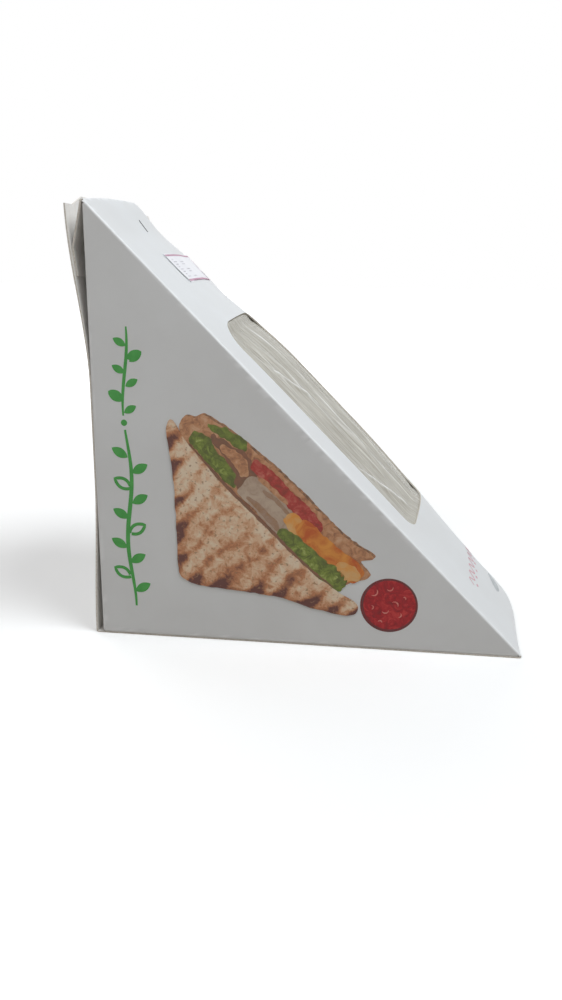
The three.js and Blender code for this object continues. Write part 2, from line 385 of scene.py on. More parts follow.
class Nodes:
    """Short way to write the nodes of a new material, given its name, or of a world."""

    def __init__(self, owner):
        self.data = bpy.data.materials.new(owner) if isinstance(owner, str) else owner
        self.data.use_nodes = True
        self.tree = self.data.node_tree
        self.shader = self.tree.nodes.get("Principled BSDF")

    def feed(self, socket, value):
        """Links an output to a socket, or gives the socket a number, a vector or a colour."""
        if isinstance(value, bpy.types.NodeSocket):
            self.tree.links.new(value, socket)
        else:
            socket.default_value = (*value, 1.0) if socket.type == "RGBA" else value

    def node(self, kind, **inputs):
        """A new node. The name of an input has _ for each space."""
        node = self.tree.nodes.new("ShaderNode" + kind)
        for name, value in inputs.items():
            self.feed(node.inputs[name.replace("_", " ")], value)
        return node

    def place(self):
        return self.node("TexCoord").outputs["Object"]

    def noise(self, scale, detail=3.0, roughness=0.55, stretch=(1, 1, 1), distortion=0.0):
        place = self.node("Mapping", Scale=stretch, Vector=self.place()).outputs["Vector"]
        node = self.node("TexNoise", Scale=scale, Detail=detail, Roughness=roughness, Vector=place)
        self.feed(node.inputs["Distortion"], distortion)
        return node.outputs["Fac"]

    def ramp(self, value, stops):
        node = self.node("ValToRGB", Fac=value)
        elements = node.color_ramp.elements
        while len(elements) < len(stops):
            elements.new(0.5)
        for element, (position, colour) in zip(elements, stops):
            element.position = position
            element.color = (*colour, 1.0)
        return node.outputs["Color"]

    def mix(self, factor, a, b):
        node = self.tree.nodes.new("ShaderNodeMix")
        node.data_type = "RGBA"
        self.feed(node.inputs["Factor"], factor)
        for name, value in (("A", a), ("B", b)):
            self.feed([s for s in node.inputs if s.name == name and s.type == "RGBA"][0], value)
        return [s for s in node.outputs if s.type == "RGBA"][0]

    def math(self, operation, a, b):
        node = self.node("Math")
        node.operation = operation
        self.feed(node.inputs[0], a)
        self.feed(node.inputs[1], b)
        return node.outputs[0]

    def map(self, value, low, high, to_low=0.0, to_high=1.0):
        node = self.node("MapRange", From_Min=low, From_Max=high, To_Min=to_low, To_Max=to_high)
        self.feed(node.inputs["Value"], value)
        return node.outputs["Result"]

    def attribute(self, name):
        node = self.node("Attribute")
        node.attribute_name = name
        return node.outputs["Fac"]

    def colour(self, value):
        self.feed(self.shader.inputs["Base Color"], value)

    def set(self, **values):
        for name, value in values.items():
            self.feed(self.shader.inputs[name.replace("_", " ").title().replace("Ior", "IOR")], value)

    def bump(self, height, distance, strength):
        node = self.node("Bump", Distance=distance, Strength=strength, Height=height)
        self.feed(self.shader.inputs["Normal"], node.outputs["Normal"])


BOARD_WHITE = (0.80, 0.815, 0.83)
BOARD_SHADE = (0.755, 0.765, 0.775)
# Paler colour along the folds: partly wear of the board, partly a painted highlight
FOLD_WEAR_AND_HIGHLIGHT = (0.90, 0.91, 0.93)
INNER_BOARD = (0.88, 0.84, 0.80)
INNER_BOARD_LIGHT = (0.95, 0.93, 0.90)
CUT_EDGE = (0.72, 0.67, 0.60)
CUT_EDGE_LIGHT = (0.85, 0.82, 0.77)
GRAIN = 260
GRAIN_DEPTH = 0.00004
INK_ROUGHNESS = 0.42
INK_SHINE = 0.45
# Near-black colours of the slit's cut faces: painted shade inside the slit
SLIT_SHADE_DARK = (0.10, 0.10, 0.11)
SLIT_SHADE_GREY = (0.20, 0.20, 0.21)


def coated_board():
    """White coated outside of the carton: faint clouds and fibres, and paler along its folds, partly wear and
    partly a painted highlight.
    """
    m = Nodes("coated_board")
    clouds = m.noise(38, 4)
    fibres = m.noise(900, 3, 0.6, stretch=(1, 1, 0.35))
    base = m.ramp(clouds, [(0.35, BOARD_SHADE), (0.65, BOARD_WHITE)])
    # Paler along the folds: partly wear of the board, partly a painted highlight on the round folds
    fold_wear_and_highlight = m.math("MULTIPLY", m.attribute("fold"), m.map(m.noise(160, 3), 0.3, 0.6, 0.35, 1.0))
    m.colour(m.mix(fold_wear_and_highlight, base, FOLD_WEAR_AND_HIGHLIGHT))
    m.set(roughness=m.map(clouds, 0.3, 0.7, 0.42, 0.58), specular_ior_level=0.42)
    m.bump(m.math("ADD", m.math("MULTIPLY", fibres, 0.35), m.noise(GRAIN, 2)), GRAIN_DEPTH, 0.35)
    return m.data


def raw_board():
    """Uncoated inside of the board: warm off-white pulp with fibres."""
    m = Nodes("raw_board")
    fibres = m.noise(700, 4, 0.7, stretch=(1, 1, 0.25))
    m.colour(m.ramp(fibres, [(0.3, INNER_BOARD), (0.7, INNER_BOARD_LIGHT)]))
    m.set(roughness=0.85, specular_ior_level=0.2)
    m.bump(fibres, 0.00006, 0.5)
    return m.data


def cut_board():
    """Cut edge of the board, with its pulp layers showing."""
    m = Nodes("cut_board")
    layers = m.noise(1500, 2, 0.6)
    m.colour(m.ramp(layers, [(0.35, CUT_EDGE), (0.65, CUT_EDGE_LIGHT)]))
    m.set(roughness=0.9, specular_ior_level=0.15)
    m.bump(layers, 0.00005, 0.6)
    return m.data


def ink_coat(m):
    """Shine and grain of a printed surface."""
    m.set(roughness=INK_ROUGHNESS, specular_ior_level=INK_SHINE)
    m.bump(m.noise(GRAIN, 2), GRAIN_DEPTH, 0.3)


def printed(name, stops, scale, detail=5.0, distortion=0.6):
    """Ink on the coated board: mottled colours."""
    m = Nodes(name)
    m.colour(m.ramp(m.noise(scale, detail, 0.65, distortion=distortion), stops))
    ink_coat(m)
    return m.data


# The carton

FRONT_ROWS = 112
FRONT_COLUMNS = 42
SIDE_STEPS = 40
FLAP_STEPS = 8
ARC_STEPS = 7
TOP_FLAP_ROWS = 11
BASE_ROWS = 60
BACK_ROWS = 70
SAME = 1e-6
WINDOW_CUT = (-3.0, 9.0)
SLIT_CUT = (-3.0, 5.0)
TAB_CUT = (-9.0, -3.2)
CUT_SPARE = 2

LOW = BOARD - GLUE_BITE
CORNER_U = (SLANT - LOW * math.sqrt(2)) / 2
TIP_LIMIT = SLANT - TIP_NICK
US = sorted(list(np.linspace(FRONT_FROM, FRONT_TO, FRONT_ROWS)) + [APEX_NICK, CORNER_U, TIP_LIMIT])
VS = list(np.linspace(EDGE_R, WIDTH - EDGE_R, FRONT_COLUMNS))
ARC = [math.pi / 2 * k / ARC_STEPS for k in range(ARC_STEPS, -1, -1)]
# Points of the round edge between two panels, as how far each lies inside the one plane and the other
ROUND = [(EDGE_R * (1 - math.sin(a)), EDGE_R * (1 - math.cos(a))) for a in ARC]


def side_reach(u):
    """How far a side panel runs from the slanted fold to its rear or base fold."""
    rear = u - EDGE_R * math.sqrt(2)
    base = SLANT - u - (LOW + EDGE_R) * math.sqrt(2)
    return min(rear, base)


def side_point(u, d, near):
    """A point on a side panel, d in from the slanted fold."""
    dip = 0.0 if near else far_dip(u) * (1 - (d - EDGE_R) / max(side_reach(u) - EDGE_R, 0.01))
    flat = FLAT_APEX + ALONG * u - OUTWARD * (d + dip)
    stand = side_offset(flat[0], flat[1], NEAR_SEED if near else FAR_SEED)
    return flat[0], -stand if near else WIDTH + stand, flat[1]


def mirrored(rows, near):
    return rows if near else [row[::-1] for row in rows]


def side_panel(sheet, near):
    """A side panel with its slanted fold. Returns the points of its rear and base edges."""
    fold_rows = [[front_point(u, v if near else WIDTH - v, depth) for v, depth in ROUND] for u in US]
    sheet.patch(mirrored(fold_rows, near), fold=True)

    side_rows = []
    rear_edge = []
    base_edge = []
    for u in US:
        if not APEX_NICK - SAME <= u <= TIP_LIMIT + SAME:
            continue
        run = side_reach(u) - EDGE_R
        row = [side_point(u, EDGE_R + run * k / SIDE_STEPS, near) for k in range(SIDE_STEPS, -1, -1)]
        side_rows.append(row)
        if u <= CORNER_U + SAME:
            rear_edge.append(row[0])
        if u >= CORNER_U - SAME:
            base_edge.append(row[0])
    sheet.patch(mirrored(side_rows, near))
    return rear_edge, base_edge


def glue_flap(sheet, edge, upright, near):
    """The flap folded in from a side panel's rear edge, upright, or from its base edge."""
    side = 1.0 if near else -1.0
    plane = 0.0 if near else WIDTH
    run = [p[2] if upright else p[0] for p in edge]
    lowest, highest = min(run), max(run)
    arc_rows = []
    flap_rows = []
    for p, s in zip(edge, run):
        depth = min(FLAP_DEPTH, FLAP_SHOULDER + FLAP_SLOPE * min(s - lowest, highest - s))
        arc_row = []
        for out, into in ROUND:
            y = plane + side * into
            arc_row.append((out, y, p[2]) if upright else (p[0], y, LOW + out))
        arc_rows.append(arc_row)
        flap_row = []
        for k in range(FLAP_STEPS, -1, -1):
            y = plane + side * (EDGE_R + (depth - EDGE_R) * k / FLAP_STEPS)
            flap_row.append((0.0, y, p[2]) if upright else (p[0], y, LOW))
        flap_rows.append(flap_row)
    sheet.patch(mirrored(arc_rows, near), fold=True)
    sheet.patch(mirrored(flap_rows, near))


def across(point, lift, inset):
    """A row of points over the width; lift gives how far each stands off, from its y."""
    first = WRAP_INSET + inset
    last = WIDTH - first
    ys = [first, max(EDGE_R, first + 0.3)] + VS[1:-1] + [min(WIDTH - EDGE_R, last - 0.3), last]
    row = []
    for y in ys:
        stand = lift(y)
        row.append((point[0] + stand[0], y, point[1] + stand[1]))
    return row


def flat_row(y):
    return (0.0, 0.0)


def swollen_fold(fold, first, last):
    """Rows over a fold whose swell passes from that of the front at one u to that at another."""
    rows = []
    for k, p in enumerate(fold):
        t = k / (len(fold) - 1)
        rows.append(across(p, lambda y: swell(first, y) * (1 - t) + swell(last, y) * t, 0.0))
    return rows


def wrap_panels(sheet):
    """The strip above and below the front: top flap, base and back, with the folds between them."""
    flap = []
    for z in np.linspace(FLAP_GLUE_TOP - FLAP_GLUE_LENGTH, FLAP_GLUE_TOP, 6)[:-1]:
        flap.append(across((back_inner(z) + FLAP_GAP, z), flat_row, FLAP_NARROWING))
    for t in np.linspace(0, 1, TOP_FLAP_ROWS):
        point = FLAP_TOP * (1 - t) + APEX_FOLD[0] * t
        flap.append(across(point, lambda y: swell(0.0, y) * t * t, FLAP_NARROWING * (1 - t)))
    sheet.patch(flap)
    sheet.patch(swollen_fold(APEX_FOLD, 0.0, FRONT_FROM), fold=True)
    sheet.patch(swollen_fold(TIP_FOLD, FRONT_TO, SLANT), fold=True)
    base = []
    for t in np.linspace(0, 1, BASE_ROWS):
        point = (TIP_FOLD[-1][0] * (1 - t) + REAR_FOLD[0][0] * t, 0.0)
        fade = max(0.0, 1 - t * 4) ** 2
        inset = LOOSE_INSET * min(1.0, t * 2)
        base.append(across(point, lambda y: swell(SLANT, y) * fade, inset))
    sheet.patch(base)
    sheet.patch([across(p, flat_row, LOOSE_INSET) for p in REAR_FOLD], fold=True)
    back = []
    for z in np.linspace(REAR_FOLD[-1][1], BACK_HEIGHT, BACK_ROWS):
        back.append(across((back_inner(z) - BOARD, z), flat_row, LOOSE_INSET))
    sheet.patch(back)


def cut_openings(obj):
    """Cuts the window and the slit out of the front, and the back panel's top corners to leave its tab."""
    cut_edge = obj.data.materials[2]

    def on_front(a, b, depth):
        p = FLAT_APEX + ALONG * a + OUTWARD * depth
        return to_row(p[0], b, p[1])

    def on_back(a, b, depth):
        return to_row(depth, a, b)

    window = rounded_rectangle(
        WINDOW_START, WINDOW_START + WINDOW_LENGTH, WINDOW_MARGIN, WIDTH - WINDOW_MARGIN, WINDOW_CORNERS
    )
    cut(obj, window, on_front, WINDOW_CUT, cut_edge)
    low, high = (WIDTH - SLIT_WIDTH) / 2, (WIDTH + SLIT_WIDTH) / 2
    end = SLIT_START + SLIT_LENGTH
    slit = [(SLIT_START, low), (end, low), (end, high), (SLIT_START, high)]
    # The slit's cut faces are coloured near black: painted shade inside the slit
    shade = printed("slit_painted_shade", [(0.3, SLIT_SHADE_DARK), (0.7, SLIT_SHADE_GREY)], 900)
    cut(obj, slit, on_front, SLIT_CUT, shade)
    drop = BACK_HEIGHT - TAB_DROP
    slope_end = TAB_INSET + TAB_SLOPE
    above = BACK_HEIGHT + CUT_SPARE
    corner = [(-CUT_SPARE, drop), (TAB_INSET, drop), (slope_end, BACK_HEIGHT), (slope_end, above),
              (-CUT_SPARE, above)]
    for outline in (corner, [(WIDTH - a, b) for a, b in corner]):
        cut(obj, outline, on_back, TAB_CUT, cut_edge)


def carton_skin():
    """The whole folded sheet: front, two sides with glue flaps, top flap, base and back."""
    sheet = Sheet()
    sheet.patch([[front_point(u, v) for v in VS] for u in US])
    for near in (True, False):
        rear_edge, base_edge = side_panel(sheet, near)
        glue_flap(sheet, rear_edge, True, near)
        glue_flap(sheet, base_edge, False, near)
    wrap_panels(sheet)
    obj = sheet.build("folded_carton")
    turn_faces_out(obj, to_row(*front_point(30, 20)))
    for material in (coated_board(), raw_board(), cut_board()):
        obj.data.materials.append(material)
    thicken(obj, BOARD, inner=1, rim=2)
    cut_openings(obj)
    smooth_by_angle(obj, 38)
    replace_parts(obj, "carton")
    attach(obj, "root")


carton_skin()


# Thin printed shapes

LAYER = 0.022
INK = 0.014
CELL = 1.2


def smooth(points, closed=True, steps=5):
    """A rounded curve through a row of points."""
    pts = [np.array(p, float) for p in points]
    if closed:
        row = pts[-1:] + pts + pts[:2]
    else:
        row = [2 * pts[0] - pts[1]] + pts + [2 * pts[-1] - pts[-2]]
    out = []
    for a, b, c, d in zip(row, row[1:], row[2:], row[3:]):
        for k in range(steps):
            t = k / steps
            bend = (2 * a - 5 * b + 4 * c - d) * t * t + (3 * b - a - 3 * c + d) * t ** 3
            out.append(0.5 * (2 * b + (c - a) * t + bend))
    return out if closed else out + pts[-1:]


def stroke(path, width, taper=0.0):
    """Outline of a line of a given width along a path, thinner towards its ends by the taper."""
    pts = np.array(path, float)
    step = np.gradient(pts, axis=0)
    side = np.stack([-step[:, 1], step[:, 0]], 1)
    side /= np.linalg.norm(side, axis=1)[:, None]
    share = np.linspace(0, 1, len(pts))
    half = width / 2 * (1 - taper * np.abs(2 * share - 1) ** 2)
    left = pts + side * half[:, None]
    right = pts - side * half[:, None]
    return list(right) + list(left[::-1])


def ragged(outline, amount, seed, length=1.1):
    """Gives an outline an uneven edge, with teeth of about a given length."""
    rng = np.random.default_rng(seed)
    ring = np.array(outline, float)
    runs = np.linalg.norm(np.roll(ring, -1, axis=0) - ring, axis=1)
    place = np.concatenate([[0], np.cumsum(runs)])
    count = max(12, int(place[-1] / (length * 0.5)))
    marks = np.linspace(0, place[-1], count, endpoint=False)
    closed = np.vstack([ring, ring[:1]])
    pts = np.stack([np.interp(marks, place, closed[:, k]) for k in (0, 1)], 1)
    step = np.roll(pts, -1, axis=0) - np.roll(pts, 1, axis=0)
    side = np.stack([-step[:, 1], step[:, 0]], 1)
    side /= np.linalg.norm(side, axis=1)[:, None] + 1e-9
    noise = rng.normal(0, 1, count)
    noise = 0.5 * noise + 0.25 * (np.roll(noise, 1) + np.roll(noise, -1))
    return list(pts + side * (amount * np.clip(noise, -1.5, 1.5))[:, None])


def ellipse(a, b, ra, rb, steps=40):
    angles = [2 * math.pi * k / steps for k in range(steps)]
    return [(a + ra * math.cos(t), b + rb * math.sin(t)) for t in angles]


def distance_to_line(points, line, closed=True):
    line = np.array(line, float)
    ends = np.roll(line, -1, axis=0) if closed else line[1:]
    starts = line if closed else line[:-1]
    best = np.full(len(points), np.inf)
    for s, e in zip(starts, ends):
        run = e - s
        t = np.clip(((points - s) @ run) / max(run @ run, 1e-12), 0, 1)
        best = np.minimum(best, np.linalg.norm(points - (s + t[:, None] * run), axis=1))
    return best


def inside_line(points, line):
    line = np.array(line, float)
    inside = np.zeros(len(points), bool)
    for (ax, ay), (bx, by) in zip(line, np.roll(line, -1, axis=0)):
        if ay == by:
            continue
        crosses = (points[:, 1] > min(ay, by)) & (points[:, 1] <= max(ay, by))
        at = ax + (points[:, 1] - ay) * (bx - ax) / (by - ay)
        inside ^= crosses & (points[:, 0] < at)
    return inside


class Print:
    """Thin closed shapes laid on a panel and gathered in one mesh."""

    def __init__(self, name, place):
        self.name = name
        self.place = place
        self.vertices = []
        self.faces = []
        self.face_material = []
        self.materials = []
        self.values = []

    def shape(self, outline, material, layer=1.0, cell=CELL, value=None, ink=INK):
        """Adds a shape. cell is the size of its triangles; value gives a number for the shader from an
        array of (a, b) points."""
        ring = np.array(outline, float)
        low, high = ring.min(0), ring.max(0)
        grid_a = np.arange(low[0] + cell / 2, high[0], cell)
        grid_b = np.arange(low[1] + cell / 2, high[1], cell)
        grid = np.array([(a, b) for a in grid_a for b in grid_b])
        if len(grid):
            grid = grid[inside_line(grid, ring)]
        if len(grid):
            grid = grid[distance_to_line(grid, ring) > 0.4 * cell]
        n = len(ring)
        coords = [Vector(p) for p in ring] + [Vector(p) for p in grid]
        edges = [(k, (k + 1) % n) for k in range(n)]
        points, _, triangles, _, _, _ = delaunay_2d_cdt(coords, edges, [list(range(n))], 1, 1e-6)
        flat = np.array([tuple(p) for p in points])
        base = len(self.vertices)
        m = len(points)
        under = layer * LAYER
        self.vertices += [self.place(a, b, under + ink) for a, b in flat]
        self.vertices += [self.place(a, b, under) for a, b in flat]
        numbers = np.zeros(m) if value is None else value(flat)
        self.values += list(numbers) * 2
        if material not in self.materials:
            self.materials.append(material)
        index = self.materials.index(material)
        pairs = []
        faces = []
        for tri in triangles:
            p, q, r = (flat[i] for i in tri)
            if (q[0] - p[0]) * (r[1] - p[1]) - (q[1] - p[1]) * (r[0] - p[0]) < 0:
                tri = tri[::-1]
            faces.append(tuple(base + i for i in tri))
            faces.append(tuple(base + m + i for i in tri[::-1]))
            pairs += [(tri[i], tri[(i + 1) % 3]) for i in range(3)]
        seen = set(pairs)
        for a, b in pairs:
            if (b, a) not in seen:
                faces.append((base + b, base + a, base + m + a, base + m + b))
        self.faces += faces
        self.face_material += [index] * len(faces)

    def build(self, slot="board"):
        obj = new_piece(self.name, self.vertices, self.faces)
        for material in self.materials:
            obj.data.materials.append(material)
        obj.data.polygons.foreach_set("material_index", self.face_material)
        give_values(obj, "shade", self.values)
        smooth_by_angle(obj, 40)
        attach(obj, "root")
        return obj


def on_side(a, b, height):
    """A point on the printed side panel: a from the rear edge, b up, in millimetres."""
    return to_row(a, -side_offset(a, b) - height, b)


def on_front_face(a, b, height):
    """A point on the slanted front: a down from the apex, b from the near edge."""
    return to_row(*front_point(a, b, -height))


# Green vine along the rear edge of the printed side

LEAF_GREEN = (0.05, 0.30, 0.055)
LEAF_GREEN_LIGHT = (0.085, 0.40, 0.085)
STEM_X = 9.8
STEM_SWAY = 0.9
STEMS = ((91.0, 66.5, 0.95), (62.5, 9.5, 1.25))
BUD_Z = 64.5
FIRST_LEAF = 88.0
LAST_LEAF = 13
LEAF_FINE = 0.9


def vine_print():
    green = printed("green_ink", [(0.3, LEAF_GREEN), (0.7, LEAF_GREEN_LIGHT)], 220)
    art = Print("vine_print", on_side)

    def stem_x(z):
        return STEM_X + STEM_SWAY * math.sin(z * 0.16)

    def leaf(x, z, length, turn, solid):
        width = length * 0.52
        path = []
        for k in range(24):
            t = k / 24 * 2
            along = length * (t if t <= 1 else 2 - t)
            across = width / 2 * math.sin(math.pi * min(t, 2 - t)) ** 0.8 * (1 if t <= 1 else -1)
            px = x + along * math.cos(turn) - across * math.sin(turn)
            pz = z + along * math.sin(turn) + across * math.cos(turn)
            path.append((px, pz))
        if solid:
            art.shape(path[::-1], green, cell=LEAF_FINE)
        else:
            art.shape(stroke(path, 0.95), green)

    for top, bottom, thick in STEMS:
        zs = np.linspace(top, bottom, int((top - bottom) / 1.2))
        art.shape(stroke([(stem_x(z), z) for z in zs], thick, 0.5), green)
    z = FIRST_LEAF
    k = 0
    while z > LAST_LEAF:
        small = z > 66
        if not 60 < z < 67:
            side = 1 if k % 2 else -1
            turn = math.radians(90 - 60 * side)
            leaf(stem_x(z) + side * 0.3, z - 2.2, 4.1 if small else 5.3, turn, k % 3 != 1)
        z -= 3.7 if small else 4.5
        k += 1
    art.shape(ellipse(stem_x(BUD_Z), BUD_Z, 0.9, 0.9), green)
    art.build()


vine_print()


# Picture of a toasted sandwich on the printed side

TOAST_LIGHT = (0.86, 0.70, 0.53)
TOAST = (0.76, 0.49, 0.31)
TOAST_BROWN = (0.54, 0.23, 0.11)
TOAST_DARK = (0.12, 0.04, 0.03)
CRUMB = (0.36, 0.20, 0.11)
REAR_TOAST = (0.55, 0.27, 0.14)
REAR_TOAST_DARK = (0.28, 0.12, 0.07)
REAR_TOAST_LIGHT = (0.68, 0.42, 0.26)
LETTUCE_DARK = (0.10, 0.115, 0.025)
LETTUCE = (0.22, 0.28, 0.05)
LETTUCE_LIGHT = (0.50, 0.54, 0.20)
TOMATO_DARK = (0.24, 0.045, 0.03)
TOMATO = (0.43, 0.05, 0.04)
TOMATO_LIGHT = (0.58, 0.19, 0.14)
HAM = (0.56, 0.44, 0.34)
HAM_DARK = (0.40, 0.27, 0.20)
CHEESE = (0.78, 0.33, 0.07)
CHEESE_DARK = (0.56, 0.12, 0.03)
CHEESE_LIGHT = (0.76, 0.46, 0.20)
SHADOW_BROWN = (0.18, 0.10, 0.06)
GRILL_SPACING = 6.8
GRILL_PHASE = -6.4

BREAD_RIDGE = [
    (23.9, 64.6), (27.5, 58.8), (32.8, 52.6), (38.2, 46.6), (44.6, 40.2), (51.2, 33.8), (57.0, 28.0),
    (62.8, 22.8), (68.8, 18.4), (74.6, 14.9),
]
BREAD_REST = [
    (76.3, 13.0), (75.6, 10.9), (73.0, 10.3), (69.8, 10.4), (66.2, 11.3), (60.6, 12.5), (54.6, 14.5),
    (46.5, 15.6), (38.0, 16.4), (31.5, 16.9), (27.6, 17.8), (24.6, 19.6), (23.6, 23.0), (23.5, 30.0),
    (23.3, 38.0), (23.0, 46.0), (22.3, 54.0), (21.3, 60.5), (21.4, 64.4), (22.5, 65.9),
]


def grill_marks(points):
    """Dark bars of a grill: strong at the rear and lower edges of the bread, faint inside."""
    across = (points[:, 1] - points[:, 0]) / math.sqrt(2)
    drift = 0.9 * np.sin(points[:, 0] * 0.31) + 0.7 * np.sin(points[:, 1] * 0.43 + 1.0)
    wave = 0.5 + 0.5 * np.cos(2 * math.pi * (across + drift - GRILL_PHASE) / GRILL_SPACING)
    to_edge = distance_to_line(points, BREAD_REST, closed=False)
    strong = np.exp(-((to_edge / 2.4) ** 2)) * wave ** 2
    faint = 0.42 * wave ** 3 * np.exp(-((to_edge / 22) ** 2))
    rim = 0.28 * np.exp(-((to_edge / 1.1) ** 2))
    to_ridge = distance_to_line(points, BREAD_RIDGE, closed=False)
    low = 0.26 * np.clip((52 - points[:, 1]) / 36, 0, 1) * np.clip(to_ridge / 5, 0, 1)
    return np.clip(strong + faint + rim + low, 0, 1)


def toast_ink():
    m = Nodes("toast_ink")
    mottle = m.noise(420, 5, 0.7, distortion=0.6)
    patches = m.map(m.noise(110, 3, 0.6), 0.35, 0.65, -0.10, 0.16)
    mottled = m.math("ADD", patches, m.map(mottle, 0.3, 0.7, -0.30, 0.34))
    shade = m.math("ADD", m.attribute("shade"), mottled)
    base = m.ramp(shade, [(0.0, TOAST_LIGHT), (0.26, TOAST), (0.52, TOAST_BROWN), (0.95, TOAST_DARK)])
    crumbs = m.map(m.noise(900, 2, 0.5), 0.60, 0.68)
    m.colour(m.mix(m.math("MULTIPLY", crumbs, 0.7), base, CRUMB))
    ink_coat(m)
    return m.data


def sandwich_print():
    toasted = [(0.33, REAR_TOAST_DARK), (0.5, REAR_TOAST), (0.68, REAR_TOAST_LIGHT)]
    rear = printed("rear_toast_ink", toasted, 420)
    greens = printed("lettuce_ink", [(0.4, LETTUCE_DARK), (0.54, LETTUCE), (0.7, LETTUCE_LIGHT)], 520)
    greens_dark = printed("lettuce_shade_ink", [(0.4, LETTUCE_DARK), (0.66, LETTUCE)], 480)
    tomato = printed("tomato_ink", [(0.35, TOMATO_DARK), (0.5, TOMATO), (0.7, TOMATO_LIGHT)], 380)
    ham = printed("ham_ink", [(0.35, HAM_DARK), (0.6, HAM)], 300)
    ham_dark = printed("ham_shade_ink", [(0.35, CRUMB), (0.6, HAM_DARK)], 420)
    cheese = printed("cheese_ink", [(0.38, CHEESE_DARK), (0.66, CHEESE)], 230)
    cheese_pale = printed("cheese_light_ink", [(0.35, CHEESE), (0.6, CHEESE_LIGHT)], 300)
    shadow = printed("shadow_ink", [(0.3, SHADOW_BROWN), (0.7, REAR_TOAST_DARK)], 500)
    dark = printed("toast_rim_ink", [(0.4, SHADOW_BROWN), (0.62, REAR_TOAST)], 460)
    art = Print("sandwich_print", on_side)

    def area(points, material, layer, amount, seed, length=1.1):
        art.shape(ragged(smooth(points), amount, seed, length), material, layer, 1.0)

    rear_bread = [
        (25.4, 61.0), (25.6, 65.2), (27.0, 67.4), (29.4, 67.0), (31.5, 67.8), (33.6, 67.5), (35.5, 66.0),
        (38.6, 64.3), (42.6, 61.4), (47.0, 57.8), (51.4, 54.4), (56.2, 50.0), (61.2, 45.4), (66.4, 40.0),
        (71.2, 35.4), (76.0, 31.8), (80.4, 29.2), (80.2, 28.0), (76.6, 26.9), (79.2, 23.8), (79.0, 22.4),
        (74.8, 20.9), (69.6, 19.4), (60.0, 25.0), (48.0, 36.6), (36.0, 49.0), (28.0, 57.6),
    ]
    area(rear_bread, dark, 1, 0.14, 1)
    inner = [(x - 0.45, z - 0.5) for x, z in rear_bread]
    area(inner, rear, 2, 0.25, 2, 1.6)
    area([(33.2, 64.9), (36.6, 64.4), (39.8, 62.9), (42.4, 61.5), (44.0, 59.4), (42.8, 57.4), (39.4, 59.6),
          (35.0, 62.4)], greens_dark, 3, 0.35, 3)
    area([(28.2, 62.2), (31.0, 62.6), (33.4, 60.8), (35.2, 57.6), (37.6, 55.2), (40.2, 52.4), (41.0, 49.4),
          (39.6, 46.9), (34.0, 52.6), (30.0, 57.0), (27.6, 60.2)], greens_dark, 3, 0.35, 4)
    area([(29.4, 61.4), (31.4, 60.6), (34.0, 56.4), (37.2, 52.8), (38.6, 50.4), (36.6, 50.8), (33.0, 54.6),
          (30.0, 58.4)], greens, 4, 0.3, 5)
    area([(34.6, 61.8), (39.6, 59.0), (44.0, 56.4), (46.6, 53.0), (46.4, 49.6), (44.2, 46.0), (40.8, 47.2),
          (40.0, 51.8), (36.6, 56.8), (33.8, 60.0)], shadow, 3.5, 0.4, 6)
    area([(37.0, 59.4), (41.6, 57.0), (44.6, 54.0), (44.4, 50.6), (42.2, 50.0), (39.8, 54.2), (36.6, 57.4)],
         rear, 4.5, 0.4, 7)
    area([(42.0, 47.6), (44.4, 50.6), (47.2, 50.0), (51.2, 46.6), (54.8, 42.8), (57.6, 39.6), (57.2, 35.8),
          (54.4, 32.0), (49.4, 36.6), (44.4, 42.4), (41.0, 45.6)], ham, 5, 0.25, 8, 2.0)
    area([(44.6, 44.6), (48.8, 41.4), (52.6, 37.2), (53.2, 34.4), (50.4, 36.8), (46.6, 41.0), (43.6, 43.8)],
         ham_dark, 5.6, 0.2, 9, 1.6)
    area([(49.0, 46.8), (53.4, 43.4), (56.6, 39.6), (55.4, 39.6), (51.6, 43.4), (48.4, 45.8)],
         ham_dark, 5.6, 0.15, 10, 1.4)
    area([(46.0, 55.2), (49.8, 53.2), (54.2, 49.2), (58.6, 45.0), (63.0, 40.6), (65.4, 37.4), (64.2, 34.6),
          (60.2, 37.6), (55.4, 42.4), (50.6, 47.0), (46.8, 50.8), (45.0, 52.8)], tomato, 6, 0.3, 11)
    area([(48.2, 50.0), (51.4, 47.6), (54.8, 44.2), (55.6, 42.8), (53.6, 43.6), (49.8, 47.0), (47.2, 49.4)],
         rear, 6.6, 0.2, 12)
    area([(54.4, 38.4), (57.6, 40.2), (60.4, 37.4), (62.4, 34.4), (59.4, 31.6), (56.6, 34.0)],
         cheese_pale, 7, 0.25, 13)
    area([(58.0, 36.8), (60.8, 38.4), (65.4, 34.6), (70.4, 30.4), (75.2, 26.9), (77.4, 24.0), (76.4, 21.4),
          (73.4, 20.2), (68.8, 24.0), (62.4, 29.6), (58.6, 33.4)], cheese, 7.6, 0.25, 14)
    area([(70.0, 26.6), (74.2, 25.4), (76.4, 23.0), (75.6, 21.0), (72.6, 20.8), (70.0, 23.2)],
         cheese_pale, 8.2, 0.3, 15)
    area([(52.4, 33.8), (55.2, 35.6), (58.6, 33.4), (62.6, 30.2), (66.6, 26.6), (70.4, 24.0), (72.6, 21.2),
          (71.4, 17.6), (67.6, 18.4), (62.4, 22.0), (57.0, 27.4), (53.0, 31.2)], greens_dark, 8.2, 0.4, 16)
    area([(54.0, 33.2), (57.8, 31.8), (62.4, 28.4), (67.0, 24.2), (70.6, 21.6), (70.6, 19.4), (66.4, 20.8),
          (61.0, 25.4), (56.4, 29.8)], greens, 8.8, 0.45, 17)
    line = np.array(smooth(BREAD_RIDGE[1:-1], closed=False))
    art.shape(ragged(stroke(line + np.array([0.25, 0.3]), 1.1, 0.7), 0.12, 18), shadow, 9.4, 1.0)
    bread = ragged(smooth(BREAD_RIDGE + BREAD_REST, steps=4), 0.12, 19, 1.4)
    art.shape(bread, toast_ink(), 10, 0.75, value=grill_marks)
    art.build()


sandwich_print()


# Picture of a round bowl of red sauce

